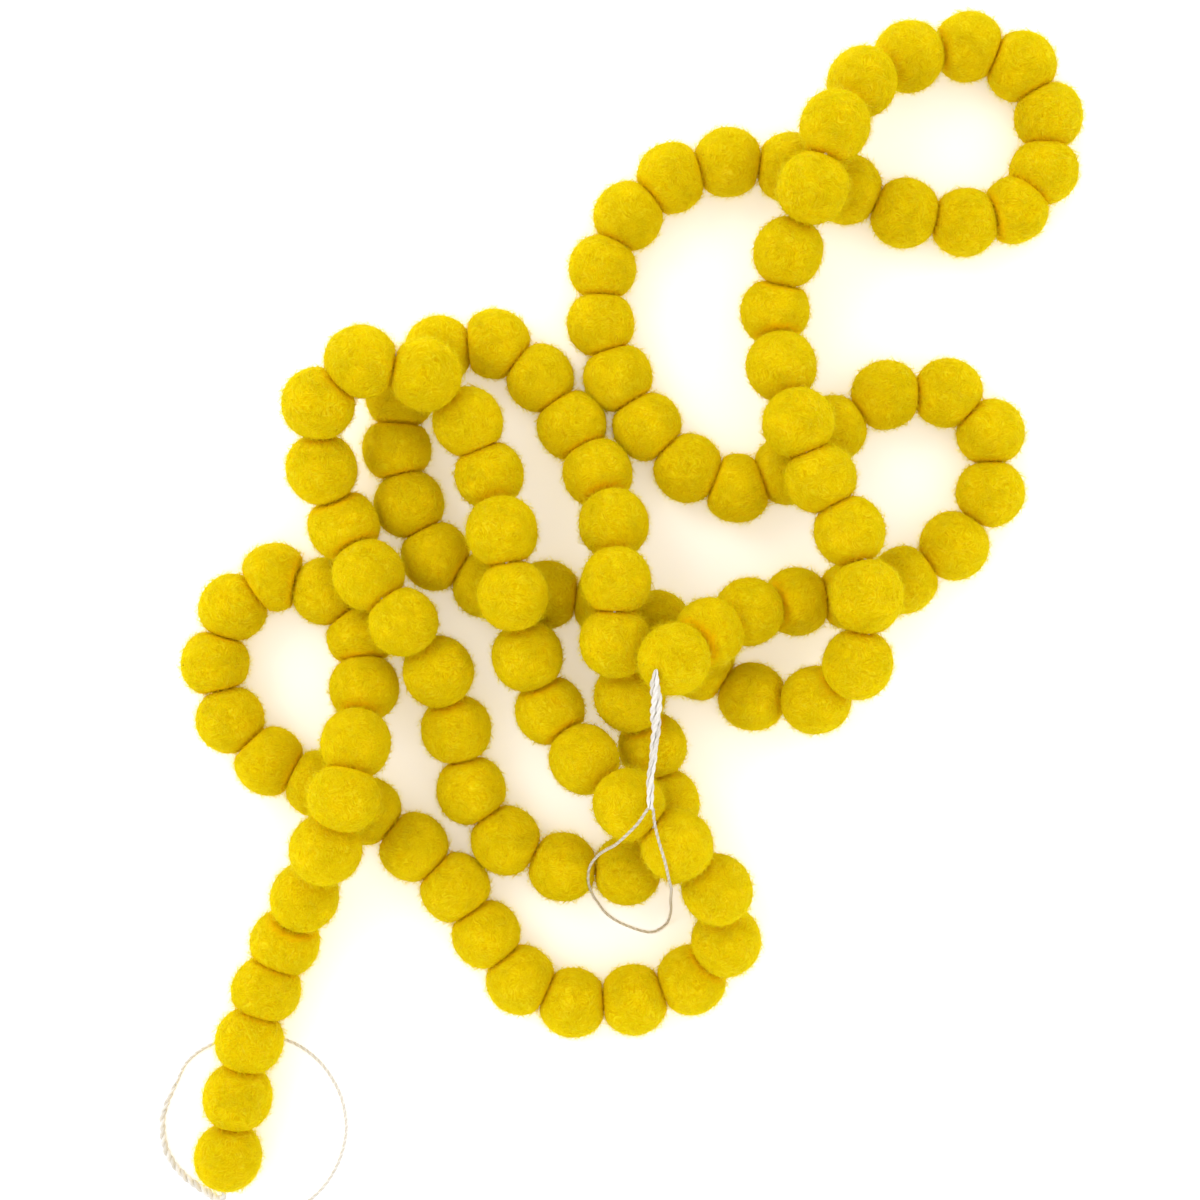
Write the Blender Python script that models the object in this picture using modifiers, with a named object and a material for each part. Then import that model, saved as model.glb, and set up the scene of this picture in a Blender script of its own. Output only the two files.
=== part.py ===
"""Felt ball garland: hand-rolled wool balls on one twisted cord, laid down in a loose heap.

The cord runs straight through every ball and turns only where two balls meet. Beyond each end
ball it comes out as a thick twisted tail, which opens into a thin hanging loop.

Ball numbers count along the cord. Places are millimetres in plan on the surface that the heap
lies on; everything else is metres, with +Z up and the surface at Z = 0.
"""
import math

import bpy
from mathutils import Vector

MM = 0.001

# Felt balls. The section is an octagon with a side downwards, so a ball has a flat spot to rest on.
BALL_COUNT = 116
BALL_SIDES = 8
BALL_FLAT_RADIUS = 0.0119
BALL_CORNER_RADIUS = BALL_FLAT_RADIUS / math.cos(math.pi / BALL_SIDES)
CROWN_HALF_WIDTH = 0.0025
SHOULDER_OFFSET = 0.0078
SHOULDER_RADIUS = 0.0104
NECK_RADIUS_LEAST = 0.0035
NECK_RADIUS_MOST = 0.0082

# Threading and heaping
BALLS_IN_GROUP = 3
GROUP_GAP = 0.0004
BORE_RADIUS = 0.0014
CORD_RADIUS = 0.00065
STACK_DISTANCE = 0.0251
LONGEST_BALL = 0.0256
SETTLED = 0.00001

# The last loop runs under one ball, which is held up by it
BALL_OVER_LOOP = 114
LIFT_OVER_LOOP = 0.0017

# Tails and loops
LOOP_RADIUS = 0.00065
CORD_BEVEL_RESOLUTION = 2
TAIL_POINTS = 9
FIRST_LOOP_POINTS = 32
LAST_LOOP_POINTS = 30
FINE_STEPS = 12

FELT_COLOUR = (0.72, 0.56, 0.0, 1.0)
CORD_COLOUR = (0.78, 0.75, 0.70, 1.0)

# Where the cord lies in plan, one stretch of the heap to a line: (ball number, x, y)
ROUTE = (
    (1, 14, -20), (3, 42, -3), (6, 101, 8),
    (8, 134, 40), (9, 134, 64), (10, 118, 79), (11, 93, 78),
    (13, 58, 50), (14, 39, 41), (16, 5, 66), (18, -12, 104), (19, -12, 125), (21, 14, 159),
    (23, 59, 163), (25, 101, 145),
    (27, 143, 146), (29, 156, 181), (30, 145, 201), (31, 125, 208), (33, 83, 191),
    (35, 65, 149), (37, 52, 108), (40, 66, 44), (41, 79, 27),
    (43, 81, -22), (44, 68, -37), (45, 43, -34),
    (46, 25, -25), (47, 10, -6), (50, -54, 7), (51, -75, 16), (52, -83, 38),
    (54, -88, 76), (55, -73, 96), (56, -50, 97),
    (58, -23, 66), (60, -7, 29), (62, -7, -14), (63, -3, -35), (64, 10, -53),
    (65, 9, -74), (66, 15, -94), (68, -26, -99),
    (69, -48, -89), (70, -61, -70), (72, -71, -25), (74, -97, 10), (76, -113, 48),
    (77, -115, 71), (78, -98, 88), (79, -73, 81),
    (81, -53, 47), (85, -31, -40), (89, 30, -103),
    (90, 36, -126), (91, 21, -141), (93, -22, -150), (94, -43, -141), (96, -66, -106),
    (99, -117, -66), (100, -136, -61), (102, -157, -23), (104, -134, 11),
    (106, -99, -12), (107, -102, -32), (108, -100, -51), (110, -111, -89), (111, -122, -109),
    (114, -143, -163), (116, -151, -207),
)

# Which stretch lies across which: (first and last ball above, first and last ball below)
CROSSINGS = (
    (1, 3, 45, 48),
    (1, 2, 61, 64),
    (60, 62, 47, 49),
    (40, 43, 4, 6),
    (38, 40, 12, 14),
    (33, 36, 22, 25),
    (78, 80, 53, 56),
    (72, 74, 105, 108),
    (82, 84, 49, 51),
    (86, 89, 64, 67),
    (108, 110, 97, 99),
)

# The first tail, from the top of the first ball over the heap: (x, y, z, radius)
FIRST_TAIL = (
    (6.8, -25.0, 61.2, 0.8), (6.8, -28.8, 61.2, 1.8), (7.2, -39.0, 58.4, 1.8), (6.9, -48.0, 55.4, 1.4),
    (5.8, -58.0, 53.6, 1.5), (5.2, -66.0, 53.3, 1.6), (5.4, -71.0, 53.9, 1.3),
)

# The first loop, over the side of the heap, along the surface and up again: (x, y, z)
FIRST_LOOP = (
    (4.5, -72.0, 54.4), (1.1, -77.0, 55.0), (-3.3, -81.8, 52.8), (-7.0, -85.8, 47.2), (-9.8, -89.2, 35.0),
    (-12.2, -92.8, 25.8), (-14.9, -97.5, 21.8), (-15.0, -103.3, 20.9), (-14.0, -109.2, 9.5),
    (-13.2, -113.4, 2.6), (-9.5, -118.3, 1.0), (-2.8, -122.3, 0.8), (6.7, -125.0, 0.8),
    (12.6, -122.0, 1.2), (14.3, -116.5, 6.0), (13.8, -110.0, 19.0), (13.4, -103.4, 36.0),
    (12.2, -98.5, 47.4), (10.4, -90.6, 54.3), (8.3, -83.5, 54.4), (6.9, -77.5, 53.6), (6.3, -72.0, 54.0),
)

# The last tail, from the last ball down to the surface and round beside it: (x, y, z, radius)
LAST_TAIL = (
    (-152.9, -219.3, 11.9, 0.8), (-153.6, -222.8, 9.6, 1.3), (-156.8, -224.9, 4.6, 1.7),
    (-161.5, -223.2, 1.9, 1.7), (-168.1, -218.8, 1.8, 1.7), (-173.6, -213.3, 1.8, 1.7),
    (-177.3, -206.0, 1.8, 1.7), (-178.2, -196.0, 1.7, 1.6), (-176.3, -189.0, 1.4, 1.2),
    (-174.0, -184.0, 1.0, 0.9),
)

# The last loop, a round on the surface that passes under one ball: (x, y, z)
LAST_LOOP = (
    (-173.2, -182.6, 0.8), (-168.8, -174.0, 0.7), (-159.2, -167.3, 0.7), (-145.0, -163.7, 0.7),
    (-129.9, -166.6, 0.7), (-119.4, -173.6, 0.7), (-112.5, -183.2, 0.7), (-109.2, -193.0, 0.7),
    (-108.9, -203.0, 0.7), (-112.2, -213.8, 0.7), (-118.6, -223.3, 0.7), (-128.0, -230.3, 0.7),
    (-138.5, -232.9, 0.8), (-147.0, -231.0, 1.6), (-151.9, -226.2, 5.5),
)


def clear_scene():
    """Removes whatever the open file holds."""
    for old in list(bpy.data.objects):
        bpy.data.objects.remove(old, do_unlink=True)


def route_places():
    """The plan position of every ball, read from a smooth curve through the route's rows."""
    rows = [(ball, Vector((x, y)) * MM) for ball, x, y in ROUTE]
    slopes = []
    for index in range(len(rows)):
        before = rows[max(index - 1, 0)]
        after = rows[min(index + 1, len(rows) - 1)]
        slopes.append((after[1] - before[1]) / (after[0] - before[0]))
    places = []
    for (first, start), (last, end), leave, arrive in zip(rows, rows[1:], slopes, slopes[1:]):
        span = last - first
        for ball in range(first, last):
            t = (ball - first) / span
            rise = t * t * (3 - 2 * t)
            places.append(
                start * (1 - rise)
                + end * rise
                + leave * span * t * (1 - t) ** 2
                - arrive * span * t * t * (1 - t)
            )
    places.append(rows[-1][1])
    return places


def thread_joints(places):
    """Where neighbouring balls meet, set a little outside each bend so that the balls keep their places."""
    padded = [places[0] * 2 - places[1], *places, places[-1] * 2 - places[-2]]
    joints = [places[0] * 1.5 - places[1] * 0.5]
    for before, here, there, after in zip(padded, padded[1:], padded[2:], padded[3:]):
        joints.append((here * 5 + there * 5 - before - after) / 8)
    joints.append(places[-1] * 1.5 - places[-2] * 0.5)
    return joints


def settle(joints):
    """Gives every joint its height: each ball rests on the surface or on the balls it lies across.

    The first ball is held at one side only, so it stands up, with the cord coming out of its top.
    """
    middles = [(a + b) / 2 for a, b in zip(joints, joints[1:])]
    heights = [BALL_FLAT_RADIUS] * len(joints)
    for end in (BALL_OVER_LOOP - 1, BALL_OVER_LOOP):
        heights[end] += LIFT_OVER_LOOP
    rests = []
    for top_first, top_last, low_first, low_last in CROSSINGS:
        for top in range(top_first - 1, top_last):
            for low in range(low_first - 1, low_last):
                apart = (middles[top] - middles[low]).length
                if apart < STACK_DISTANCE:
                    rests.append((top, low, math.sqrt(STACK_DISTANCE ** 2 - apart ** 2)))
    moved = True
    while moved:
        moved = False
        for top, low, rise in rests:
            lift = (heights[low] + heights[low + 1] - heights[top] - heights[top + 1]) / 2 + rise
            if lift > SETTLED:
                heights[top] += lift
                if top > 0:
                    heights[top + 1] += lift
                moved = True
        for index, (a, b) in enumerate(zip(joints, joints[1:])):
            steepest = math.sqrt(max(LONGEST_BALL ** 2 - (a - b).length_squared, 0))
            for low, high in ((index, index + 1), (index + 1, index)):
                if heights[low] < heights[high] - steepest - SETTLED:
                    heights[low] = heights[high] - steepest
                    moved = True
    return [Vector((joint.x, joint.y, height)) for joint, height in zip(joints, heights)]


def felt_material():
    """Yellow felted wool, matt all over."""
    felt = bpy.data.materials.new("felt")
    felt.use_nodes = True
    shader = felt.node_tree.nodes["Principled BSDF"]
    shader.inputs["Base Color"].default_value = FELT_COLOUR
    shader.inputs["Roughness"].default_value = 0.95
    shader.inputs["Metallic"].default_value = 0.0
    return felt


def cord_material():
    """Off-white twisted cotton."""
    cotton = bpy.data.materials.new("cord")
    cotton.use_nodes = True
    shader = cotton.node_tree.nodes["Principled BSDF"]
    shader.inputs["Base Color"].default_value = CORD_COLOUR
    shader.inputs["Roughness"].default_value = 0.75
    shader.inputs["Metallic"].default_value = 0.0
    return cotton


def polyline(name, points, radii=None):
    """A curve that runs straight from point to point, with its own radius at each where given."""
    curve = bpy.data.curves.new(name, "CURVE")
    curve.dimensions = "3D"
    curve.twist_mode = "Z_UP"
    spline = curve.splines.new("POLY")
    spline.points.add(len(points) - 1)
    for index, point in enumerate(points):
        spline.points[index].co = (*point, 1.0)
        if radii:
            spline.points[index].radius = radii[index]
    return curve


def smooth_line(rows, count):
    """Evenly spaced points on a smooth curve through a table's rows, with any further column carried along."""
    knots = [Vector(row) * MM for row in rows]
    padded = [knots[0], *knots, knots[-1]]
    fine = []
    for before, here, there, after in zip(padded, padded[1:], padded[2:], padded[3:]):
        for step in range(FINE_STEPS):
            t = step / FINE_STEPS
            fine.append(
                here
                + (there - before) * (t / 2)
                + (before * 2 - here * 5 + there * 4 - after) * (t * t / 2)
                + (here * 3 - before - there * 3 + after) * (t ** 3 / 2)
            )
    fine.append(knots[-1])
    run = [0.0]
    for a, b in zip(fine, fine[1:]):
        run.append(run[-1] + (b.xyz - a.xyz).length)
    points = []
    index = 0
    for number in range(count - 1):
        wanted = run[-1] * number / (count - 1)
        while run[index + 1] <= wanted:
            index += 1
        points.append(fine[index].lerp(fine[index + 1], (wanted - run[index]) / (run[index + 1] - run[index])))
    return points + [fine[-1]]


def make_guide(joints, collection):
    """The threading line that every group of balls is bent along."""
    guide = bpy.data.objects.new("threading_line", polyline("threading_line", joints))
    guide.hide_render = True
    guide.display_type = "WIRE"
    collection.objects.link(guide)
    return guide


def neck_radius(half_length):
    """How wide two balls press together, from how far their middles are from where they meet."""
    squeezed = math.sqrt(max(BALL_CORNER_RADIUS ** 2 - half_length ** 2, 0))
    return min(max(squeezed, NECK_RADIUS_LEAST), NECK_RADIUS_MOST)


def group_profile(stations):
    """The half section of a run of balls: along the outside, then back along the bore."""
    half_lengths = [(b - a) / 2 for a, b in zip(stations, stations[1:])]
    necks = [neck_radius(half_lengths[0])]
    necks += [neck_radius((a + b) / 2) for a, b in zip(half_lengths, half_lengths[1:])]
    necks.append(neck_radius(half_lengths[-1]))
    outside = [(stations[0] + GROUP_GAP / 2, necks[0])]
    for ball, half in enumerate(half_lengths):
        middle = (stations[ball] + stations[ball + 1]) / 2
        shoulder = min(SHOULDER_OFFSET, half * 0.8)
        outside += [
            (middle - shoulder, SHOULDER_RADIUS),
            (middle - CROWN_HALF_WIDTH, BALL_CORNER_RADIUS),
            (middle + CROWN_HALF_WIDTH, BALL_CORNER_RADIUS),
            (middle + shoulder, SHOULDER_RADIUS),
            (stations[ball + 1], necks[ball + 1]),
        ]
    outside[-1] = (stations[-1] - GROUP_GAP / 2, necks[-1])
    inside = [(outside[-1][0], BORE_RADIUS)]
    inside += [(station, BORE_RADIUS) for station in reversed(stations[1:-1])]
    inside.append((outside[0][0], BORE_RADIUS))
    return outside + inside


def make_group(name, stations, guide, felt, collection):
    """Neighbouring balls, pressed together: one turned solid, bent along the threading line."""
    profile = group_profile(stations)
    turn = -math.pi / 2 + math.pi / BALL_SIDES
    mesh = bpy.data.meshes.new(name)
    points = [(s, r * math.cos(turn), r * math.sin(turn)) for s, r in profile]
    edges = [(i, (i + 1) % len(points)) for i in range(len(points))]
    mesh.from_pydata(points, edges, [])
    group = bpy.data.objects.new(name, mesh)
    mesh.materials.append(felt)
    collection.objects.link(group)
    turned = group.modifiers.new("turned", "SCREW")
    turned.axis = "X"
    turned.steps = BALL_SIDES
    turned.render_steps = BALL_SIDES
    turned.use_merge_vertices = True
    turned.merge_threshold = 0.00001
    turned.use_normal_flip = True
    bent = group.modifiers.new("bent", "CURVE")
    bent.object = guide
    bent.deform_axis = "POS_X"
    return group


def make_cord(name, points, radii, cotton, collection):
    """A length of cord with closed ends, drawn with a radius of its own at each point."""
    curve = polyline(name, points, [radius / radii[0] for radius in radii])
    curve.bevel_depth = radii[0]
    curve.bevel_resolution = CORD_BEVEL_RESOLUTION
    curve.use_fill_caps = True
    curve.materials.append(cotton)
    cord = bpy.data.objects.new(name, curve)
    collection.objects.link(cord)
    return cord


def make_tail(name, rows, cotton, collection):
    """A tail: the cord wound back on itself, so it is thick and of uneven width."""
    points = smooth_line(rows, TAIL_POINTS)
    make_cord(name, [point.xyz for point in points], [point.w for point in points], cotton, collection)


def make_loop(name, rows, count, cotton, collection):
    """A loop of single cord, from where it leaves its tail back to it."""
    make_cord(name, smooth_line(rows, count), [LOOP_RADIUS] * count, cotton, collection)


def main():
    """Builds the garland: the balls in groups, the cord through them, and both of its ends."""
    clear_scene()
    garland = bpy.data.collections.new("felt_ball_garland")
    guides = bpy.data.collections.new("guides")
    for collection in (garland, guides):
        bpy.context.scene.collection.children.link(collection)
    felt = felt_material()
    cotton = cord_material()

    joints = settle(thread_joints(route_places()))
    guide = make_guide(joints, guides)
    stations = [0.0]
    for a, b in zip(joints, joints[1:]):
        stations.append(stations[-1] + (b - a).length)
    for first in range(0, BALL_COUNT, BALLS_IN_GROUP):
        last = min(first + BALLS_IN_GROUP, BALL_COUNT)
        name = f"balls_{first + 1:03d}_{last:03d}"
        make_group(name, stations[first:last + 1], guide, felt, garland)
    make_cord("cord_threaded", joints, [CORD_RADIUS] * len(joints), cotton, garland)
    make_tail("cord_tail_first", FIRST_TAIL, cotton, garland)
    make_loop("cord_loop_first", FIRST_LOOP, FIRST_LOOP_POINTS, cotton, garland)
    make_tail("cord_tail_last", LAST_TAIL, cotton, garland)
    make_loop("cord_loop_last", LAST_LOOP, LAST_LOOP_POINTS, cotton, garland)


main()
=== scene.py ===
"""Felt ball garland: hand-rolled wool balls on a twisted cord, laid down in a loose heap.

The places of the balls come from the same route as the model's own: the cord runs straight
through every ball and turns only where two balls meet. Each ball is a piece of its own, flattened
where it meets its neighbours and the surface, and covered in short wool fibres.

Places in the tables are millimetres; everything else is metres, with +Z up and the surface at
Z = 0.
"""
import math
import random

import bmesh
import bpy
from mathutils import Matrix, Vector, noise


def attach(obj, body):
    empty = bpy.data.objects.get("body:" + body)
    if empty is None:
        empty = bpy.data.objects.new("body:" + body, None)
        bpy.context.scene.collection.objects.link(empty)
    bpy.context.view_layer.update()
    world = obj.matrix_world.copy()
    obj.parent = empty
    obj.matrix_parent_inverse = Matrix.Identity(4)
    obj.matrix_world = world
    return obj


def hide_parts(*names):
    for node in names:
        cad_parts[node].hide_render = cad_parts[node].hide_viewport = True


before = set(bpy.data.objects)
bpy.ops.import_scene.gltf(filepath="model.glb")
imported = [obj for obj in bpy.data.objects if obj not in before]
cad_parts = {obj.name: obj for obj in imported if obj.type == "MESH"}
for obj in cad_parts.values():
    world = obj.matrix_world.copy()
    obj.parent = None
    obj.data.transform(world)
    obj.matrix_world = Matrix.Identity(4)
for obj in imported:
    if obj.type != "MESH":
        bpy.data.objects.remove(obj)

bl_info = {
    "name": "Felt ball garland",
    "version": (1, 0, 0),
    "blender": (4, 5, 0),
    "location": "View3D > Sidebar > Garland",
    "description": "Builds a garland of felt balls over its packed model",
    "category": "Add Mesh",
}

MM = 0.001

# Threading and heaping
BALL_COUNT = 116
BALLS_IN_GROUP = 3
REST_HEIGHT = 0.0119
STACK_DISTANCE = 0.0251
LONGEST_BALL = 0.0256
SETTLED = 0.00001
BALL_OVER_LOOP = 114
LIFT_OVER_LOOP = 0.0017
FINE_STEPS = 12

# Where the cord lies in plan, one stretch of the heap to a line: (ball number, x, y)
ROUTE = (
    (1, 14, -20), (3, 42, -3), (6, 101, 8),
    (8, 134, 40), (9, 134, 64), (10, 118, 79), (11, 93, 78),
    (13, 58, 50), (14, 39, 41), (16, 5, 66), (18, -12, 104), (19, -12, 125), (21, 14, 159),
    (23, 59, 163), (25, 101, 145),
    (27, 143, 146), (29, 156, 181), (30, 145, 201), (31, 125, 208), (33, 83, 191),
    (35, 65, 149), (37, 52, 108), (40, 66, 44), (41, 79, 27),
    (43, 81, -22), (44, 68, -37), (45, 43, -34),
    (46, 25, -25), (47, 10, -6), (50, -54, 7), (51, -75, 16), (52, -83, 38),
    (54, -88, 76), (55, -73, 96), (56, -50, 97),
    (58, -23, 66), (60, -7, 29), (62, -7, -14), (63, -3, -35), (64, 10, -53),
    (65, 9, -74), (66, 15, -94), (68, -26, -99),
    (69, -48, -89), (70, -61, -70), (72, -71, -25), (74, -97, 10), (76, -113, 48),
    (77, -115, 71), (78, -98, 88), (79, -73, 81),
    (81, -53, 47), (85, -31, -40), (89, 30, -103),
    (90, 36, -126), (91, 21, -141), (93, -22, -150), (94, -43, -141), (96, -66, -106),
    (99, -117, -66), (100, -136, -61), (102, -157, -23), (104, -134, 11),
    (106, -99, -12), (107, -102, -32), (108, -100, -51), (110, -111, -89), (111, -122, -109),
    (114, -143, -163), (116, -151, -207),
)

# Which stretch lies across which: (first and last ball above, first and last ball below)
CROSSINGS = (
    (1, 3, 45, 48),
    (1, 2, 61, 64),
    (60, 62, 47, 49),
    (40, 43, 4, 6),
    (38, 40, 12, 14),
    (33, 36, 22, 25),
    (78, 80, 53, 56),
    (72, 74, 105, 108),
    (82, 84, 49, 51),
    (86, 89, 64, 67),
    (108, 110, 97, 99),
)

# The first tail, from the top of the first ball over the heap: (x, y, z, radius)
FIRST_TAIL = (
    (7.0, -23.2, 62.4, 0.7), (6.8, -28.2, 62.0, 1.9), (7.2, -37.0, 59.4, 2.3), (6.9, -48.0, 55.6, 1.7),
    (5.8, -58.0, 53.6, 1.5), (5.2, -66.0, 53.3, 1.6), (5.4, -71.0, 53.9, 1.3),
)

# The first loop, over the side of the heap, along the surface and up again: (x, y, z)
FIRST_LOOP = (
    (4.5, -72.0, 54.4), (1.1, -77.0, 55.0), (-3.3, -81.8, 52.8), (-7.0, -85.8, 47.2), (-10.2, -89.2, 35.0),
    (-13.4, -92.8, 25.8), (-16.2, -97.5, 21.8), (-16.6, -103.3, 19.9), (-15.2, -109.2, 9.5),
    (-13.2, -113.4, 2.6), (-9.5, -118.3, 1.0), (-2.8, -122.3, 0.8), (6.7, -125.0, 0.8),
    (12.6, -122.0, 1.2), (14.3, -116.5, 6.0), (13.8, -110.0, 19.0), (13.4, -103.4, 36.0),
    (12.2, -98.5, 47.4), (10.4, -90.6, 54.3), (8.3, -83.5, 54.4), (6.9, -77.5, 53.6), (6.3, -72.0, 54.0),
)

# The last tail, from the last ball down to the surface and round beside it: (x, y, z, radius)
LAST_TAIL = (
    (-152.9, -219.3, 11.9, 0.8), (-153.6, -222.8, 9.6, 1.3), (-156.8, -224.9, 4.6, 1.6),
    (-161.5, -223.2, 1.8, 1.6), (-168.1, -218.8, 1.6, 1.5), (-173.6, -213.3, 1.5, 1.4),
    (-177.3, -206.0, 1.5, 1.4), (-178.2, -196.0, 1.4, 1.3), (-176.3, -189.0, 1.3, 1.1),
    (-174.0, -184.0, 1.0, 0.9),
)

# The last loop, a round on the surface that passes under one ball: (x, y, z)
LAST_LOOP = (
    (-173.2, -182.6, 0.8), (-168.8, -174.0, 0.7), (-159.2, -167.3, 0.7), (-145.0, -163.7, 0.7),
    (-129.9, -166.6, 0.7), (-119.4, -173.6, 0.7), (-112.5, -183.2, 0.7), (-109.2, -193.0, 0.7),
    (-108.9, -203.0, 0.7), (-112.2, -213.8, 0.7), (-118.6, -223.3, 0.7), (-128.0, -230.3, 0.7),
    (-138.5, -232.9, 0.8), (-147.0, -231.0, 1.6), (-151.9, -226.2, 5.5),
)

# Felt balls
RANDOM_SEED = 7
BALL_GRID = 10
BROAD_LUMPS = (0.024, 1.2)
SMALL_LUMPS = (0.013, 3.1)
PATTERN_STEP = (7.3, 3.1, 5.7)
SHOULDER_FULLNESS = 2.05
PRESSED_OVERLAP = 0.0004
CONTACT_SOFTNESS = 0.0006
SURFACE_SOFTNESS = 0.0005
# How far from each contact plane the painted crevice shade reaches
CREVICE_SHADE_REACH = 0.0012
FAR_OVER_LIMIT = 20
HOLE_RADIUS = 0.0019
HOLE_DEPTH = 0.0016

# Streaks of wool in three directions, long one way and fine the other two
WOOL_STREAKS = ((1.6, 30.0, 30.0), (30.0, 30.0, 1.6), (30.0, 1.6, 30.0))

# Where the camera stands in plan
CAMERA_X = -0.0123
CAMERA_Y = 0.001

# Cord
PLY_SHARE = 0.57
PLY_SIDES = 6
CORD_TWIST = 0.0028
STRAND_TWIST = 0.0075
FIRST_TAIL_TWIST = 0.034
LAST_TAIL_TWIST = 0.0064
# Tints of painted shade: whole plies and strands are darkened so that the grooves of the twist show; the
# first loop's tints also darken it all over for wear
PLY_SHADE_TINTS = (0.0, 0.4)
WORN_AND_SHADE_TINTS = (0.55, 1.0)
WORN_SHARE = 0.85
STRAND_SHADE_TINTS = (0.1, 0.0, 0.35)
STRAND_SHARE = 0.48
TAIL_OVERRUN = 0.0014
CORD_STEP = 0.00035
THREADED_STEP = 0.0007


def route_places():
    """The plan position of every ball, read from a smooth curve through the route's rows."""
    rows = [(ball, Vector((x, y)) * MM) for ball, x, y in ROUTE]
    slopes = []
    for index in range(len(rows)):
        before = rows[max(index - 1, 0)]
        after = rows[min(index + 1, len(rows) - 1)]
        slopes.append((after[1] - before[1]) / (after[0] - before[0]))
    places = []
    for (first, start), (last, end), leave, arrive in zip(rows, rows[1:], slopes, slopes[1:]):
        span = last - first
        for ball in range(first, last):
            t = (ball - first) / span
            rise = t * t * (3 - 2 * t)
            places.append(
                start * (1 - rise)
                + end * rise
                + leave * span * t * (1 - t) ** 2
                - arrive * span * t * t * (1 - t)
            )
    places.append(rows[-1][1])
    return places


def thread_joints(places):
    """Where neighbouring balls meet, a little outside each bend so that the balls keep their places."""
    padded = [places[0] * 2 - places[1], *places, places[-1] * 2 - places[-2]]
    joints = [places[0] * 1.5 - places[1] * 0.5]
    for before, here, there, after in zip(padded, padded[1:], padded[2:], padded[3:]):
        joints.append((here * 5 + there * 5 - before - after) / 8)
    joints.append(places[-1] * 1.5 - places[-2] * 0.5)
    return joints


def settle(joints):
    """Gives every joint its height: each ball rests on the surface or on the balls it lies across."""
    middles = [(a + b) / 2 for a, b in zip(joints, joints[1:])]
    heights = [REST_HEIGHT] * len(joints)
    for end in (BALL_OVER_LOOP - 1, BALL_OVER_LOOP):
        heights[end] += LIFT_OVER_LOOP
    rests = []
    for top_first, top_last, low_first, low_last in CROSSINGS:
        for top in range(top_first - 1, top_last):
            for low in range(low_first - 1, low_last):
                apart = (middles[top] - middles[low]).length
                if apart < STACK_DISTANCE:
                    rests.append((top, low, math.sqrt(STACK_DISTANCE ** 2 - apart ** 2)))
    moved = True
    while moved:
        moved = False
        for top, low, rise in rests:
            lift = (heights[low] + heights[low + 1] - heights[top] - heights[top + 1]) / 2 + rise
            if lift > SETTLED:
                heights[top] += lift
                if top > 0:
                    heights[top + 1] += lift
                moved = True
        for index, (a, b) in enumerate(zip(joints, joints[1:])):
            steepest = math.sqrt(max(LONGEST_BALL ** 2 - (a - b).length_squared, 0))
            for low, high in ((index, index + 1), (index + 1, index)):
                if heights[low] < heights[high] - steepest - SETTLED:
                    heights[low] = heights[high] - steepest
                    moved = True
    return [Vector((joint.x, joint.y, height)) for joint, height in zip(joints, heights)]


def smooth_line(rows, step):
    """Evenly spaced points on a smooth curve through a table's rows, with any further column."""
    knots = [Vector(row) * MM for row in rows]
    padded = [knots[0], *knots, knots[-1]]
    fine = []
    for before, here, there, after in zip(padded, padded[1:], padded[2:], padded[3:]):
        for number in range(FINE_STEPS):
            t = number / FINE_STEPS
            fine.append(
                here
                + (there - before) * (t / 2)
                + (before * 2 - here * 5 + there * 4 - after) * (t * t / 2)
                + (here * 3 - before - there * 3 + after) * (t ** 3 / 2)
            )
    fine.append(knots[-1])
    return evenly_spaced(fine, step)


def evenly_spaced(line, step):
    """The same line with a point about every step along it."""
    run = [0.0]
    for a, b in zip(line, line[1:]):
        run.append(run[-1] + (b.xyz - a.xyz).length)
    count = max(int(run[-1] / step), 2)
    points = []
    index = 0
    for number in range(count):
        wanted = run[-1] * number / count
        while run[index + 1] <= wanted:
            index += 1
        share = (wanted - run[index]) / (run[index + 1] - run[index])
        points.append(line[index].lerp(line[index + 1], share))
    return points + [line[-1]]


def frames_along(points):
    """Two directions square to the line at each point, carried along it without twisting."""
    ahead = (points[1] - points[0]).normalized()
    side = ahead.orthogonal().normalized()
    frames = []
    for index in range(len(points)):
        start = points[max(index - 1, 0)]
        end = points[min(index + 1, len(points) - 1)]
        new_ahead = (end - start).normalized()
        side = ahead.rotation_difference(new_ahead) @ side
        side = (side - new_ahead * side.dot(new_ahead)).normalized()
        ahead = new_ahead
        frames.append((side, ahead.cross(side)))
    return frames


def wind(points, offsets, twist, phase):
    """A line wound round another one, with a full turn in each length of twist."""
    wound = []
    run = 0.0
    for index, (side, across) in enumerate(frames_along(points)):
        if index:
            run += (points[index] - points[index - 1]).length
        angle = phase + 2 * math.pi * run / twist
        wound.append(points[index] + (side * math.cos(angle) + across * math.sin(angle)) * offsets[index])
    return wound


def add_tube(mesh, points, radii, sides, tint):
    """Adds a closed tube along a line of points, with a tint for its material: painted shade, and on the
    first loop also wear.
    """
    shade = mesh.verts.layers.float.get("tint") or mesh.verts.layers.float.new("tint")
    rings = []
    for (side, across), point, radius in zip(frames_along(points), points, radii):
        ring = []
        for number in range(sides):
            angle = 2 * math.pi * number / sides
            corner = mesh.verts.new(point + (side * math.cos(angle) + across * math.sin(angle)) * radius)
            corner[shade] = tint
            ring.append(corner)
        rings.append(ring)
    for ring, after in zip(rings, rings[1:]):
        for number in range(sides):
            follow = (number + 1) % sides
            mesh.faces.new((ring[number], ring[follow], after[follow], after[number]))
    mesh.faces.new(list(reversed(rings[0])))
    mesh.faces.new(rings[-1])


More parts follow.
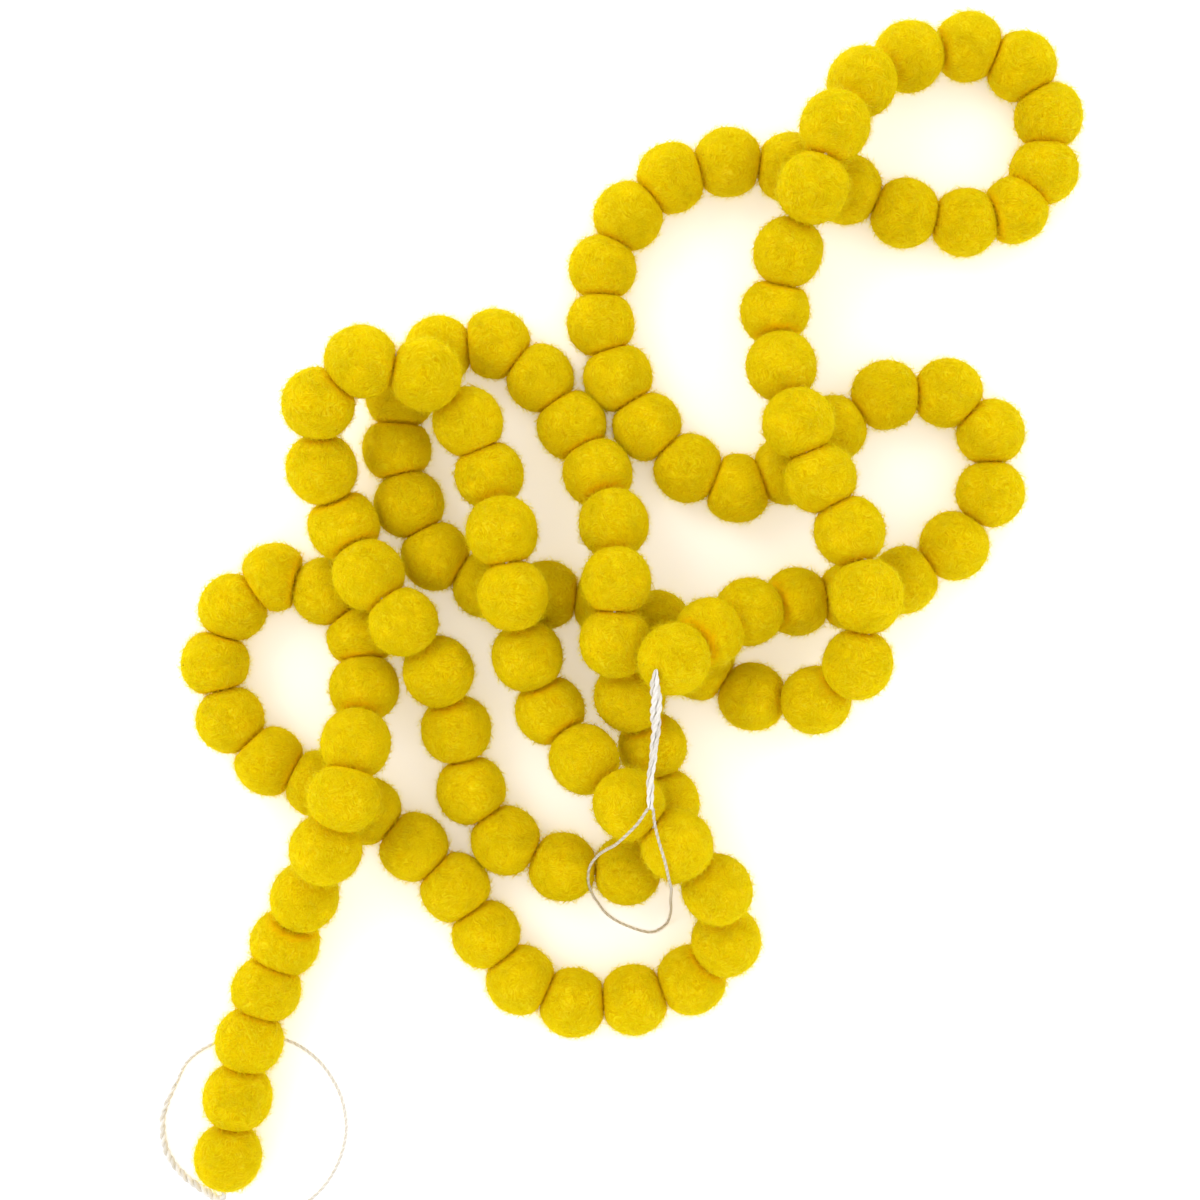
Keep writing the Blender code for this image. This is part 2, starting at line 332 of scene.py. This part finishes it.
def add_plied(mesh, points, radii, twist, phase, tints):
    """Adds a cord of two plies twisted together, as thick as the radii say, with a tint of painted shade
    for each ply, which on the first loop is also wear.
    """
    offsets = [radius * (1 - PLY_SHARE) for radius in radii]
    thickness = [radius * PLY_SHARE for radius in radii]
    for ply, tint in enumerate(tints):
        line = wind(points, offsets, twist, phase + math.pi * ply)
        add_tube(mesh, line, thickness, PLY_SIDES, tint)


def add_rope(mesh, points, radii, twist, phase, tints):
    """Adds a tail of plied strands laid round each other, with a tint of painted shade for each strand."""
    offsets = [radius * (1 - STRAND_SHARE) for radius in radii]
    thickness = [radius * STRAND_SHARE for radius in radii]
    for strand, tint in enumerate(tints):
        turn = phase + 2 * math.pi * strand / len(tints)
        line = wind(points, offsets, twist, turn)
        add_plied(mesh, line, thickness, STRAND_TWIST, turn, (tint, tint))


def mesh_piece(name, mesh, material):
    """An object made from mesh code, with one material."""
    data = bpy.data.meshes.new(name)
    mesh.to_mesh(data)
    mesh.free()
    data.materials.append(material)
    data.shade_smooth()
    piece = bpy.data.objects.new(name, data)
    bpy.context.scene.collection.objects.link(piece)
    return piece


def finish_piece(piece, slot, *nodes):
    """Ties a piece to the model: its body and the nodes it stands for. The slot is not used."""
    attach(piece, "root")
    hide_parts(*nodes)


def add_node(tree, kind, **values):
    """A new node with its settings."""
    node = tree.nodes.new(kind)
    for key, value in values.items():
        setattr(node, key, value)
    return node


def felt_material(colour, deep_colour, pale_colour):
    """Felted wool: swirls of fine fibre, a slightly uneven dye, and painted shade where balls meet: a warm
    orange tint standing in for the shade in the crevices between them.
    """
    material = bpy.data.materials.new("felt")
    material.use_nodes = True
    tree = material.node_tree
    link = tree.links.new
    shader = tree.nodes["Principled BSDF"]
    shader.inputs["Roughness"].default_value = 0.92
    shader.inputs["Specular IOR Level"].default_value = 0.02
    shader.inputs["Sheen Weight"].default_value = 0.55
    shader.inputs["Sheen Roughness"].default_value = 0.55
    shader.inputs["Subsurface Weight"].default_value = 0.8
    shader.inputs["Subsurface Radius"].default_value = (1.0, 0.65, 0.08)
    shader.inputs["Subsurface Scale"].default_value = 0.004
    shader.inputs["Sheen Tint"].default_value = (1.0, 0.78, 0.0, 1.0)

    place = add_node(tree, "ShaderNodeAttribute", attribute_name="felt_place")
    warp = add_node(tree, "ShaderNodeTexNoise")
    warp.inputs["Scale"].default_value = 1.15
    warp.inputs["Detail"].default_value = 2.0
    link(place.outputs["Vector"], warp.inputs["Vector"])
    centred = add_node(tree, "ShaderNodeVectorMath", operation="SUBTRACT")
    centred.inputs[1].default_value = (0.5, 0.5, 0.5)
    link(warp.outputs["Color"], centred.inputs[0])
    pushed = add_node(tree, "ShaderNodeVectorMath", operation="MULTIPLY_ADD")
    pushed.inputs[1].default_value = (1.3, 1.3, 1.3)
    link(centred.outputs["Vector"], pushed.inputs[0])
    link(place.outputs["Vector"], pushed.inputs[2])

    layers = []
    for stretch in WOOL_STREAKS:
        stretched = add_node(tree, "ShaderNodeVectorMath", operation="MULTIPLY")
        stretched.inputs[1].default_value = stretch
        link(pushed.outputs["Vector"], stretched.inputs[0])
        fibres = add_node(tree, "ShaderNodeTexNoise")
        fibres.inputs["Scale"].default_value = 1.0
        fibres.inputs["Detail"].default_value = 2.0
        fibres.inputs["Roughness"].default_value = 0.65
        link(stretched.outputs["Vector"], fibres.inputs["Vector"])
        layers.append(fibres)
    felted = layers[0].outputs["Fac"]
    for number, layer in enumerate(layers[1:]):
        patch = add_node(tree, "ShaderNodeTexNoise")
        patch.inputs["Scale"].default_value = 1.9 + number
        patch.inputs["Detail"].default_value = 1.0
        link(place.outputs["Vector"], patch.inputs["Vector"])
        sharper = add_node(tree, "ShaderNodeMapRange")
        sharper.inputs["From Min"].default_value = 0.42
        sharper.inputs["From Max"].default_value = 0.58
        link(patch.outputs["Fac"], sharper.inputs["Value"])
        mixed = add_node(tree, "ShaderNodeMix", data_type="FLOAT")
        link(sharper.outputs["Result"], mixed.inputs["Factor"])
        link(felted, mixed.inputs["A"])
        link(layer.outputs["Fac"], mixed.inputs["B"])
        felted = mixed.outputs["Result"]

    dyed = add_node(tree, "ShaderNodeValToRGB")
    dyed.color_ramp.elements[0].position = 0.37
    dyed.color_ramp.elements[0].color = (*deep_colour, 1.0)
    dyed.color_ramp.elements[1].position = 0.64
    dyed.color_ramp.elements[1].color = (*pale_colour, 1.0)
    middle = dyed.color_ramp.elements.new(0.5)
    middle.color = (*colour, 1.0)
    link(felted, dyed.inputs["Fac"])

    mottle = add_node(tree, "ShaderNodeTexNoise")
    mottle.inputs["Scale"].default_value = 1.3
    mottle.inputs["Detail"].default_value = 3.0
    link(place.outputs["Vector"], mottle.inputs["Vector"])
    shade = add_node(tree, "ShaderNodeMapRange")
    shade.inputs["From Min"].default_value = 0.3
    shade.inputs["From Max"].default_value = 0.7
    shade.inputs["To Min"].default_value = 0.9
    shade.inputs["To Max"].default_value = 1.06
    link(mottle.outputs["Fac"], shade.inputs["Value"])
    uneven = add_node(tree, "ShaderNodeVectorMath", operation="SCALE")
    link(dyed.outputs["Color"], uneven.inputs[0])
    link(shade.outputs["Result"], uneven.inputs["Scale"])

    # Painted shade: towards the planes where a ball meets its neighbours its colour turns warm orange,
    # standing in for the warm shade in the crevices between balls
    pressed = add_node(tree, "ShaderNodeAttribute", attribute_name="pressed")
    crevice_shade_tint = add_node(tree, "ShaderNodeMix", data_type="RGBA")
    crevice_shade_tint.inputs["B"].default_value = (0.92, 0.56, 0.0, 1.0)
    link(pressed.outputs["Fac"], crevice_shade_tint.inputs["Factor"])
    link(uneven.outputs["Vector"], crevice_shade_tint.inputs["A"])
    link(crevice_shade_tint.outputs["Result"], shader.inputs["Base Color"])

    raised = add_node(tree, "ShaderNodeBump")
    raised.inputs["Strength"].default_value = 0.8
    raised.inputs["Distance"].default_value = 0.0005
    link(felted, raised.inputs["Height"])
    link(raised.outputs["Normal"], shader.inputs["Normal"])
    return material


def cord_material(colour):
    """Off-white twisted cotton with fine strands, darker where the tint of its ply says so: painted shade
    in the grooves of the twist, and on the first loop also wear.
    """
    material = bpy.data.materials.new("cord")
    material.use_nodes = True
    tree = material.node_tree
    link = tree.links.new
    shader = tree.nodes["Principled BSDF"]
    shader.inputs["Roughness"].default_value = 0.6
    shader.inputs["Sheen Weight"].default_value = 0.3
    place = add_node(tree, "ShaderNodeTexCoord")
    strands = add_node(tree, "ShaderNodeTexNoise")
    strands.inputs["Scale"].default_value = 2600.0
    strands.inputs["Detail"].default_value = 3.0
    link(place.outputs["Object"], strands.inputs["Vector"])
    soiled = add_node(tree, "ShaderNodeTexNoise")
    soiled.inputs["Scale"].default_value = 160.0
    link(place.outputs["Object"], soiled.inputs["Vector"])
    mixed = add_node(tree, "ShaderNodeMix", data_type="FLOAT")
    mixed.inputs["Factor"].default_value = 0.4
    link(strands.outputs["Fac"], mixed.inputs["A"])
    link(soiled.outputs["Fac"], mixed.inputs["B"])
    tinted = add_node(tree, "ShaderNodeValToRGB")
    tinted.color_ramp.elements[0].position = 0.35
    tinted.color_ramp.elements[0].color = (*[part * 0.82 for part in colour], 1.0)
    tinted.color_ramp.elements[1].position = 0.62
    tinted.color_ramp.elements[1].color = (*colour, 1.0)
    link(mixed.outputs["Result"], tinted.inputs["Fac"])
    # Painted shade: the tint darkens plies and strands towards beige-brown, standing in for the shade in
    # the grooves of the twist; on the first loop it also darkens it for wear
    ply = add_node(tree, "ShaderNodeAttribute", attribute_name="tint")
    shadow = add_node(tree, "ShaderNodeMix", data_type="RGBA", blend_type="MULTIPLY")
    shadow.inputs["B"].default_value = (0.66, 0.60, 0.48, 1.0)
    link(ply.outputs["Fac"], shadow.inputs["Factor"])
    link(tinted.outputs["Color"], shadow.inputs["A"])
    link(shadow.outputs["Result"], shader.inputs["Base Color"])
    raised = add_node(tree, "ShaderNodeBump")
    raised.inputs["Strength"].default_value = 0.5
    raised.inputs["Distance"].default_value = 0.0002
    link(strands.outputs["Fac"], raised.inputs["Height"])
    link(raised.outputs["Normal"], shader.inputs["Normal"])
    return material


def floor_material(colour):
    """Smooth white paper with a faint glow of its own, which keeps the shadows soft."""
    material = bpy.data.materials.new("floor")
    material.use_nodes = True
    tree = material.node_tree
    shader = tree.nodes["Principled BSDF"]
    shader.inputs["Roughness"].default_value = 0.9
    shader.inputs["Specular IOR Level"].default_value = 0.1
    shader.inputs["Emission Color"].default_value = (1.0, 0.97, 0.93, 1.0)
    shader.inputs["Emission Strength"].default_value = 0.34
    place = add_node(tree, "ShaderNodeTexCoord")
    grain = add_node(tree, "ShaderNodeTexNoise")
    grain.inputs["Scale"].default_value = 3.0
    tree.links.new(place.outputs["Object"], grain.inputs["Vector"])
    shade = add_node(tree, "ShaderNodeValToRGB")
    shade.color_ramp.elements[0].color = (*[part * 0.985 for part in colour], 1.0)
    shade.color_ramp.elements[1].color = (*colour, 1.0)
    tree.links.new(grain.outputs["Fac"], shade.inputs["Fac"])
    tree.links.new(shade.outputs["Color"], shader.inputs["Base Color"])
    return material


def fibre_tree():
    """Short wool fibres all over a ball, lying along its surface and lifting a little off it."""
    tree = bpy.data.node_groups.new("wool_fibres", "GeometryNodeTree")
    interface = tree.interface
    interface.new_socket("Geometry", in_out="INPUT", socket_type="NodeSocketGeometry")
    for label, socket_type in (
        ("Density", "NodeSocketFloat"),
        ("Length", "NodeSocketFloat"),
        ("Radius", "NodeSocketFloat"),
        ("Lift", "NodeSocketFloat"),
        ("Seed", "NodeSocketInt"),
        ("Material", "NodeSocketMaterial"),
    ):
        interface.new_socket(label, in_out="INPUT", socket_type=socket_type)
    interface.new_socket("Geometry", in_out="OUTPUT", socket_type="NodeSocketGeometry")
    link = tree.links.new
    given = tree.nodes.new("NodeGroupInput")
    result = tree.nodes.new("NodeGroupOutput")

    scattered = tree.nodes.new("GeometryNodeDistributePointsOnFaces")
    link(given.outputs["Geometry"], scattered.inputs["Mesh"])
    link(given.outputs["Density"], scattered.inputs["Density"])
    link(given.outputs["Seed"], scattered.inputs["Seed"])

    fibre = add_node(tree, "GeometryNodeMeshCone", fill_type="NONE")
    fibre.inputs["Vertices"].default_value = 3
    fibre.inputs["Radius Top"].default_value = 0.0
    link(given.outputs["Radius"], fibre.inputs["Radius Bottom"])
    link(given.outputs["Length"], fibre.inputs["Depth"])

    heading = add_node(tree, "FunctionNodeRandomValue", data_type="FLOAT_VECTOR")
    heading.inputs["Min"].default_value = (-1.0, -1.0, -1.0)
    heading.inputs["Max"].default_value = (1.0, 1.0, 1.0)
    link(given.outputs["Seed"], heading.inputs["Seed"])
    along = add_node(tree, "ShaderNodeVectorMath", operation="CROSS_PRODUCT")
    link(heading.outputs["Value"], along.inputs[0])
    link(scattered.outputs["Normal"], along.inputs[1])
    unit = add_node(tree, "ShaderNodeVectorMath", operation="NORMALIZE")
    link(along.outputs["Vector"], unit.inputs[0])
    rise = add_node(tree, "FunctionNodeRandomValue", data_type="FLOAT")
    link(given.outputs["Lift"], rise.inputs[3])
    link(given.outputs["Seed"], rise.inputs["Seed"])
    upward = add_node(tree, "ShaderNodeVectorMath", operation="SCALE")
    link(scattered.outputs["Normal"], upward.inputs[0])
    link(rise.outputs[1], upward.inputs["Scale"])
    direction = add_node(tree, "ShaderNodeVectorMath", operation="ADD")
    link(unit.outputs["Vector"], direction.inputs[0])
    link(upward.outputs["Vector"], direction.inputs[1])
    turned = add_node(tree, "FunctionNodeAlignRotationToVector", axis="Z")
    link(direction.outputs["Vector"], turned.inputs["Vector"])
    sized = add_node(tree, "FunctionNodeRandomValue", data_type="FLOAT")
    sized.inputs[2].default_value = 0.5
    sized.inputs[3].default_value = 1.5
    link(given.outputs["Seed"], sized.inputs["Seed"])

    placed = tree.nodes.new("GeometryNodeInstanceOnPoints")
    link(scattered.outputs["Points"], placed.inputs["Points"])
    link(fibre.outputs["Mesh"], placed.inputs["Instance"])
    link(turned.outputs["Rotation"], placed.inputs["Rotation"])
    link(sized.outputs[1], placed.inputs["Scale"])
    joined = tree.nodes.new("GeometryNodeJoinGeometry")
    link(given.outputs["Geometry"], joined.inputs["Geometry"])
    link(placed.outputs["Instances"], joined.inputs["Geometry"])
    realized = tree.nodes.new("GeometryNodeRealizeInstances")
    link(joined.outputs["Geometry"], realized.inputs["Geometry"])
    place = tree.nodes.new("GeometryNodeInputPosition")
    above = add_node(tree, "ShaderNodeVectorMath", operation="MAXIMUM")
    above.inputs[1].default_value = (-1.0, -1.0, 0.0)
    link(place.outputs["Position"], above.inputs[0])
    laid = tree.nodes.new("GeometryNodeSetPosition")
    link(realized.outputs["Geometry"], laid.inputs["Geometry"])
    link(above.outputs["Vector"], laid.inputs["Position"])
    coloured = tree.nodes.new("GeometryNodeSetMaterial")
    link(laid.outputs["Geometry"], coloured.inputs["Geometry"])
    link(given.outputs["Material"], coloured.inputs["Material"])
    link(coloured.outputs["Geometry"], result.inputs["Geometry"])
    return tree


def grow(piece, tree, values):
    """Runs a node tree on a piece and keeps what it makes as the piece's own mesh."""
    modifier = piece.modifiers.new("grown", "NODES")
    modifier.node_group = tree
    for item in tree.interface.items_tree:
        if item.in_out == "INPUT" and item.name in values:
            modifier[item.identifier] = values[item.name]
    graph = bpy.context.evaluated_depsgraph_get()
    grown = bpy.data.meshes.new_from_object(piece.evaluated_get(graph), depsgraph=graph)
    piece.modifiers.remove(modifier)
    old = piece.data
    piece.data = grown
    bpy.data.meshes.remove(old)
    grown.name = piece.name


def round_directions():
    """The points of an even round grid, as directions, and the faces between them."""
    mesh = bmesh.new()
    bmesh.ops.create_cube(mesh, size=2.0)
    bmesh.ops.subdivide_edges(mesh, edges=mesh.edges[:], cuts=BALL_GRID - 1, use_grid_fill=True)
    directions = []
    for vertex in mesh.verts:
        spread = [math.tan(part * math.pi / 4) for part in vertex.co]
        directions.append(Vector(spread).normalized())
    mesh.verts.index_update()
    faces = [[corner.index for corner in face.verts] for face in mesh.faces]
    mesh.free()
    return directions, faces


def soft_limit(value, limit, softness):
    """The value kept under a limit, with a rounded corner where it reaches it."""
    over = (value - limit) / softness
    if over > FAR_OVER_LIMIT:
        return limit
    return value - softness * math.log1p(math.exp(over))


def contact_planes(joints, number):
    """The planes where a ball meets its neighbours: a point and a direction out of the ball each."""
    start, end = joints[number], joints[number + 1]
    ahead = (end - start).normalized()
    planes = []
    for joint, other, outward in (
        (start, joints[number - 1] if number else None, -ahead),
        (end, joints[number + 2] if number + 2 < len(joints) else None, ahead),
    ):
        if other is None:
            continue
        planes.append((joint, (outward + (other - joint).normalized()).normalized()))
    return planes


def ball_mesh(name, joints, number, radius, directions, faces, material, chance):
    """One felt ball: slightly lumpy, flattened at its neighbours and under its own weight, and carrying
    the mask of the painted crevice shade.
    """
    start, end = joints[number], joints[number + 1]
    centre = (start + end) / 2
    planes = contact_planes(joints, number)
    open_ends = []
    if number == 0:
        open_ends.append((start - centre).normalized())
    if number == len(joints) - 2:
        open_ends.append((end - centre).normalized())
    axis = (end - start).normalized()
    reach_along = max(radius, (end - start).length / 2 + PRESSED_OVERLAP)
    tumble = Matrix.Rotation(chance.uniform(0, 2 * math.pi), 3, "X")
    tumble = Matrix.Rotation(chance.uniform(0, 2 * math.pi), 3, "Z") @ tumble
    shift = Vector(PATTERN_STEP) * number
    broad, broad_scale = BROAD_LUMPS
    small, small_scale = SMALL_LUMPS
    points = []
    places = []
    pressed = []
    for direction in directions:
        lump = broad * noise.noise(direction * broad_scale + shift)
        lump += small * noise.noise(direction * small_scale - shift)
        along = abs(direction.dot(axis))
        beside = math.sqrt(max(1 - along * along, 0))
        full = (along / reach_along) ** SHOULDER_FULLNESS + (beside / radius) ** SHOULDER_FULLNESS
        offset = direction * full ** (-1 / SHOULDER_FULLNESS) * (1 + lump)
        for hole in open_ends:
            off_hole = (direction - hole * direction.dot(hole)).length * radius
            if direction.dot(hole) > 0 and off_hole < HOLE_RADIUS:
                offset -= hole * HOLE_DEPTH * (1 - (off_hole / HOLE_RADIUS) ** 2)
        # closest rises towards each contact plane; its square is the mask of the painted crevice shade
        closest = 0.0
        for joint, outward in planes:
            limit = (joint - centre).dot(outward)
            reach = offset.dot(outward)
            closest = max(closest, math.exp(min(reach - limit, 0) / CREVICE_SHADE_REACH))
            offset += outward * (soft_limit(reach, limit, CONTACT_SOFTNESS) - reach)
        point = centre + offset
        point.z = -soft_limit(-point.z, 0.0, SURFACE_SOFTNESS)
        points.append(point)
        places.append(tumble @ (direction * (1 + lump)) + shift)
        pressed.append(closest ** 2)
    data = bpy.data.meshes.new(name)
    data.from_pydata(points, [], faces)
    data.attributes.new("felt_place", "FLOAT_VECTOR", "POINT")
    data.attributes.new("pressed", "FLOAT", "POINT")
    data.attributes["felt_place"].data.foreach_set("vector", [part for place in places for part in place])
    data.attributes["pressed"].data.foreach_set("value", pressed)
    data.materials.append(material)
    data.shade_smooth()
    ball = bpy.data.objects.new(name, data)
    bpy.context.scene.collection.objects.link(ball)
    return ball


class GarlandSettings(bpy.types.PropertyGroup):
    """Sizes and colours of the garland and of its stage."""

    ball_radius: bpy.props.FloatProperty(
        name="Ball radius", description="Half of an ordinary ball's width", default=0.0128, unit="LENGTH"
    )
    ball_spread: bpy.props.FloatProperty(
        name="Size spread", description="How much smaller or larger a ball may be", default=0.022
    )
    fibre_density: bpy.props.FloatProperty(
        name="Fibres", description="Fibres to a square metre of ball", default=860000.0
    )
    fibre_length: bpy.props.FloatProperty(
        name="Fibre length", description="Length of an ordinary fibre", default=0.0030, unit="LENGTH"
    )
    fibre_radius: bpy.props.FloatProperty(
        name="Fibre radius",
        description="Half of a fibre's width at its root",
        default=0.00007,
        unit="LENGTH",
    )
    fibre_lift: bpy.props.FloatProperty(
        name="Fibre lift", description="How far the most raised fibres leave the surface", default=0.6
    )
    felt_colour: bpy.props.FloatVectorProperty(
        name="Felt", description="Colour of the felt", default=(0.78, 0.59, 0.0), subtype="COLOR"
    )
    felt_deep: bpy.props.FloatVectorProperty(
        name="Felt, deep", description="Colour between fibres", default=(0.69, 0.45, 0.0), subtype="COLOR"
    )
    felt_pale: bpy.props.FloatVectorProperty(
        name="Felt, pale",
        description="Colour of the palest fibres",
        default=(0.85, 0.70, 0.015),
        subtype="COLOR",
    )
    cord_radius: bpy.props.FloatProperty(
        name="Cord radius", description="Half of the cord's thickness", default=0.0007, unit="LENGTH"
    )
    cord_colour: bpy.props.FloatVectorProperty(
        name="Cord", description="Colour of the cord", default=(0.93, 0.91, 0.875), subtype="COLOR"
    )
    floor_colour: bpy.props.FloatVectorProperty(
        name="Floor", description="Colour of the surface", default=(0.95, 0.945, 0.94), subtype="COLOR"
    )
    camera_height: bpy.props.FloatProperty(
        name="Camera height", description="Height over the surface", default=0.7, unit="LENGTH"
    )
    lens: bpy.props.FloatProperty(
        name="Lens", description="Focal length in millimetres", default=55.275
    )


def settings():
    """The garland's settings in the open scene."""
    return bpy.context.scene.garland


class GARLAND_OT_stage(bpy.types.Operator):
    """Adds the camera, the lights and the surface that the heap lies on"""

    bl_idname = "garland.stage"
    bl_label = "Add stage"

    def execute(self, context):
        sizes = settings()
        lens = bpy.data.cameras.new("camera")
        lens.lens = sizes.lens
        lens.sensor_width = 36.0
        lens.clip_start = 0.01
        camera = bpy.data.objects.new("camera", lens)
        camera.location = (CAMERA_X, CAMERA_Y, sizes.camera_height)
        context.scene.collection.objects.link(camera)
        context.scene.camera = camera

        surface = bmesh.new()
        bmesh.ops.create_grid(surface, x_segments=8, y_segments=8, size=8.0)
        floor = mesh_piece("floor", surface, floor_material(sizes.floor_colour))

        for name, place, size, power, colour in (
            ("key_light", (-1.7, 1.4, 2.3), 1.5, 22.0, (1.0, 0.985, 0.96)),
            ("fill_light", (1.8, -1.0, 3.2), 3.0, 8.0, (1.0, 0.97, 0.93)),
        ):
            light = bpy.data.lights.new(name, "AREA")
            light.size = size
            light.energy = power
            light.color = colour
            lamp = bpy.data.objects.new(name, light)
            lamp.location = place
            lamp.rotation_euler = Vector(place).to_track_quat("Z", "Y").to_euler()
            context.scene.collection.objects.link(lamp)

        world = bpy.data.worlds.new("world")
        world.use_nodes = True
        world.node_tree.nodes["Background"].inputs["Color"].default_value = (1.0, 0.98, 0.95, 1.0)
        world.node_tree.nodes["Background"].inputs["Strength"].default_value = 1.05
        context.scene.world = world
        context.scene.view_settings.view_transform = "Standard"
        return {"FINISHED"}


class GARLAND_OT_cords(bpy.types.Operator):
    """Adds the twisted cord: the tails and loops at both ends, and the stretch through the balls"""

    bl_idname = "garland.cords"
    bl_label = "Add cords"

    def execute(self, context):
        sizes = settings()
        cotton = cord_material(sizes.cord_colour)
        for name, rows, add_strands, twist, phase, tints in (
            ("tail_first", FIRST_TAIL, add_rope, FIRST_TAIL_TWIST, 0.4, STRAND_SHADE_TINTS),
            ("tail_last", LAST_TAIL, add_plied, LAST_TAIL_TWIST, 1.1, PLY_SHADE_TINTS),
        ):
            points = smooth_line(rows, CORD_STEP)
            line = [point.xyz for point in points]
            for _ in range(int(TAIL_OVERRUN / CORD_STEP)):
                line.append(line[-1] * 2 - line[-2])
                points.append(points[-1])
            mesh = bmesh.new()
            add_strands(mesh, line, [point.w for point in points], twist, phase, tints)
            tail = mesh_piece(name, mesh, cotton)
            finish_piece(tail, "cord", f"cord_{name}")
        for name, rows, radius, tints in (
            ("loop_first", FIRST_LOOP, sizes.cord_radius * WORN_SHARE, WORN_AND_SHADE_TINTS),
            ("loop_last", LAST_LOOP, sizes.cord_radius, PLY_SHADE_TINTS),
        ):
            line = smooth_line(rows, CORD_STEP)
            mesh = bmesh.new()
            add_plied(mesh, line, [radius] * len(line), CORD_TWIST, 0.0, tints)
            loop = mesh_piece(name, mesh, cotton)
            finish_piece(loop, "cord", f"cord_{name}")

        joints = settle(thread_joints(route_places()))
        ends = [Vector(FIRST_TAIL[0]).xyz * MM, Vector(LAST_TAIL[0]).xyz * MM]
        line = evenly_spaced([ends[0], *joints, ends[1]], THREADED_STEP)
        mesh = bmesh.new()
        add_plied(mesh, line, [sizes.cord_radius] * len(line), CORD_TWIST, 0.0, PLY_SHADE_TINTS)
        threaded = mesh_piece("cord_through_balls", mesh, cotton)
        finish_piece(threaded, "cord", "cord_threaded")
        return {"FINISHED"}


class GARLAND_OT_balls(bpy.types.Operator):
    """Adds every felt ball, with its fibres"""

    bl_idname = "garland.balls"
    bl_label = "Add balls"

    def execute(self, context):
        sizes = settings()
        felt = felt_material(sizes.felt_colour, sizes.felt_deep, sizes.felt_pale)
        joints = settle(thread_joints(route_places()))
        directions, faces = round_directions()
        tree = fibre_tree()
        chance = random.Random(RANDOM_SEED)
        density = sizes.fibre_density
        for number in range(BALL_COUNT):
            radius = sizes.ball_radius * (1 + chance.uniform(-1, 1) * sizes.ball_spread)
            name = f"ball_{number + 1:03d}"
            ball = ball_mesh(name, joints, number, radius, directions, faces, felt, chance)
            grow(
                ball,
                tree,
                {
                    "Density": density,
                    "Length": sizes.fibre_length,
                    "Radius": sizes.fibre_radius,
                    "Lift": sizes.fibre_lift,
                    "Seed": number + 1,
                    "Material": felt,
                },
            )
            first = number - number % BALLS_IN_GROUP + 1
            last = min(first + BALLS_IN_GROUP - 1, BALL_COUNT)
            finish_piece(ball, "felt", f"balls_{first:03d}_{last:03d}")
        if not bpy.data.objects.get(f"ball_{BALL_COUNT:03d}"):
            raise RuntimeError("the last ball is missing")
        return {"FINISHED"}


class GARLAND_PT_panel(bpy.types.Panel):
    """Shows the garland's settings and its operators"""

    bl_idname = "GARLAND_PT_panel"
    bl_label = "Felt ball garland"
    bl_space_type = "VIEW_3D"
    bl_region_type = "UI"
    bl_category = "Garland"

    def draw(self, context):
        column = self.layout.column()
        for label in GarlandSettings.__annotations__:
            column.prop(context.scene.garland, label)
        for operator in (GARLAND_OT_stage, GARLAND_OT_cords, GARLAND_OT_balls):
            column.operator(operator.bl_idname)


CLASSES = (GarlandSettings, GARLAND_OT_stage, GARLAND_OT_cords, GARLAND_OT_balls, GARLAND_PT_panel)


def register():
    """Makes the settings, operators and panel known."""
    for item in CLASSES:
        bpy.utils.register_class(item)
    bpy.types.Scene.garland = bpy.props.PointerProperty(type=GarlandSettings)


def unregister():
    """Takes them away again."""
    del bpy.types.Scene.garland
    for item in reversed(CLASSES):
        bpy.utils.unregister_class(item)


def main():
    """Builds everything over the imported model."""
    register()
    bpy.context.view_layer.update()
    bpy.ops.garland.stage()
    bpy.ops.garland.cords()
    bpy.ops.garland.balls()


if __name__ == "__main__":
    main()
